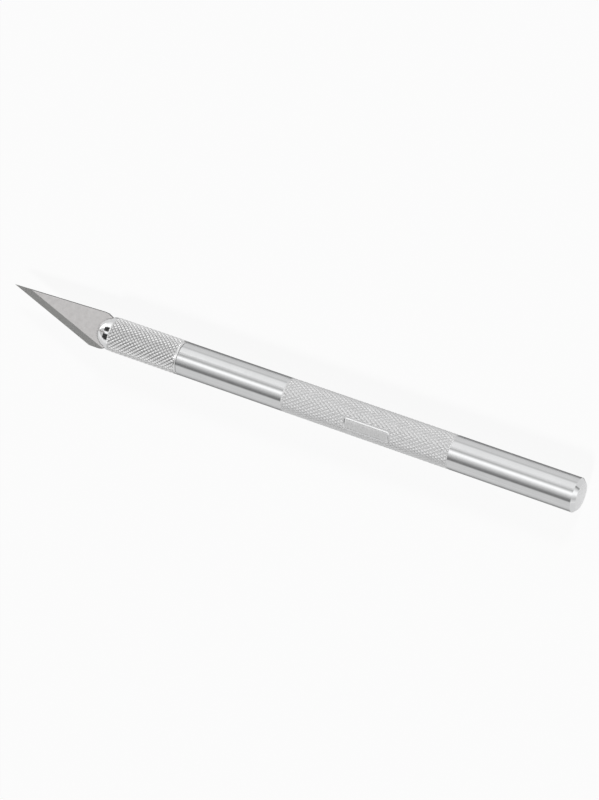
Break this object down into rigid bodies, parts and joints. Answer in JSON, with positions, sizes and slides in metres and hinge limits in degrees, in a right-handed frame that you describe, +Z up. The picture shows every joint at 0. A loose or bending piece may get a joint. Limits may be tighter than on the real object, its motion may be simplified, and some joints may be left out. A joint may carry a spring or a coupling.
{
  "type": "marking knife",
  "caption": "Pen-shaped aluminium marking knife with a knurled grip, a knurled collar, a domed jaw collet and a fine-point steel blade.",
  "frame": {"origin": "centre of the knife's box in X and Y, on the surface that it lies on", "axes": "+X along the handle's axis towards its rear end, so the blade's tip points to -X; +Z up, square to the blade's flat; the cutting edge faces -Y"},
  "size_m": [0.1476, 0.0086, 0.0082],
  "materials": {
    "bar_aluminium": "polished along the bar, finely knurled on the grip",
    "collar_aluminium": "coarse diamond knurl, bright",
    "collet_aluminium": "polished head",
    "blade_steel": "satin faces with a ground bevel"
  },
  "bodies": {
    "handle": {"handle": "bar_aluminium"},
    "collar": {"collar": "collar_aluminium"},
    "collet": {"collet": "collet_aluminium"},
    "blade": {"blade": "blade_steel"}
  },
  "joints": [
    {"name": "collar_turn", "type": "hinge", "parent": "handle", "child": "collar", "pos_m": [-0.036, 0, 0.00409], "axis": [-1, 0, 0], "range_deg": [0, 720]},
    {"name": "collet_screw", "type": "slide", "parent": "collar", "child": "collet", "axis": [-1, 0, 0], "range_m": [0, 0.0016]},
    {"name": "blade_pull", "type": "slide", "parent": "collet", "child": "blade", "axis": [-1, 0, 0], "range_m": [0, 0.016]}
  ],
  "couplings": [
    {"joint": "collar_turn", "follows": "collet_screw", "rad_per_m": 7854}
  ]
}
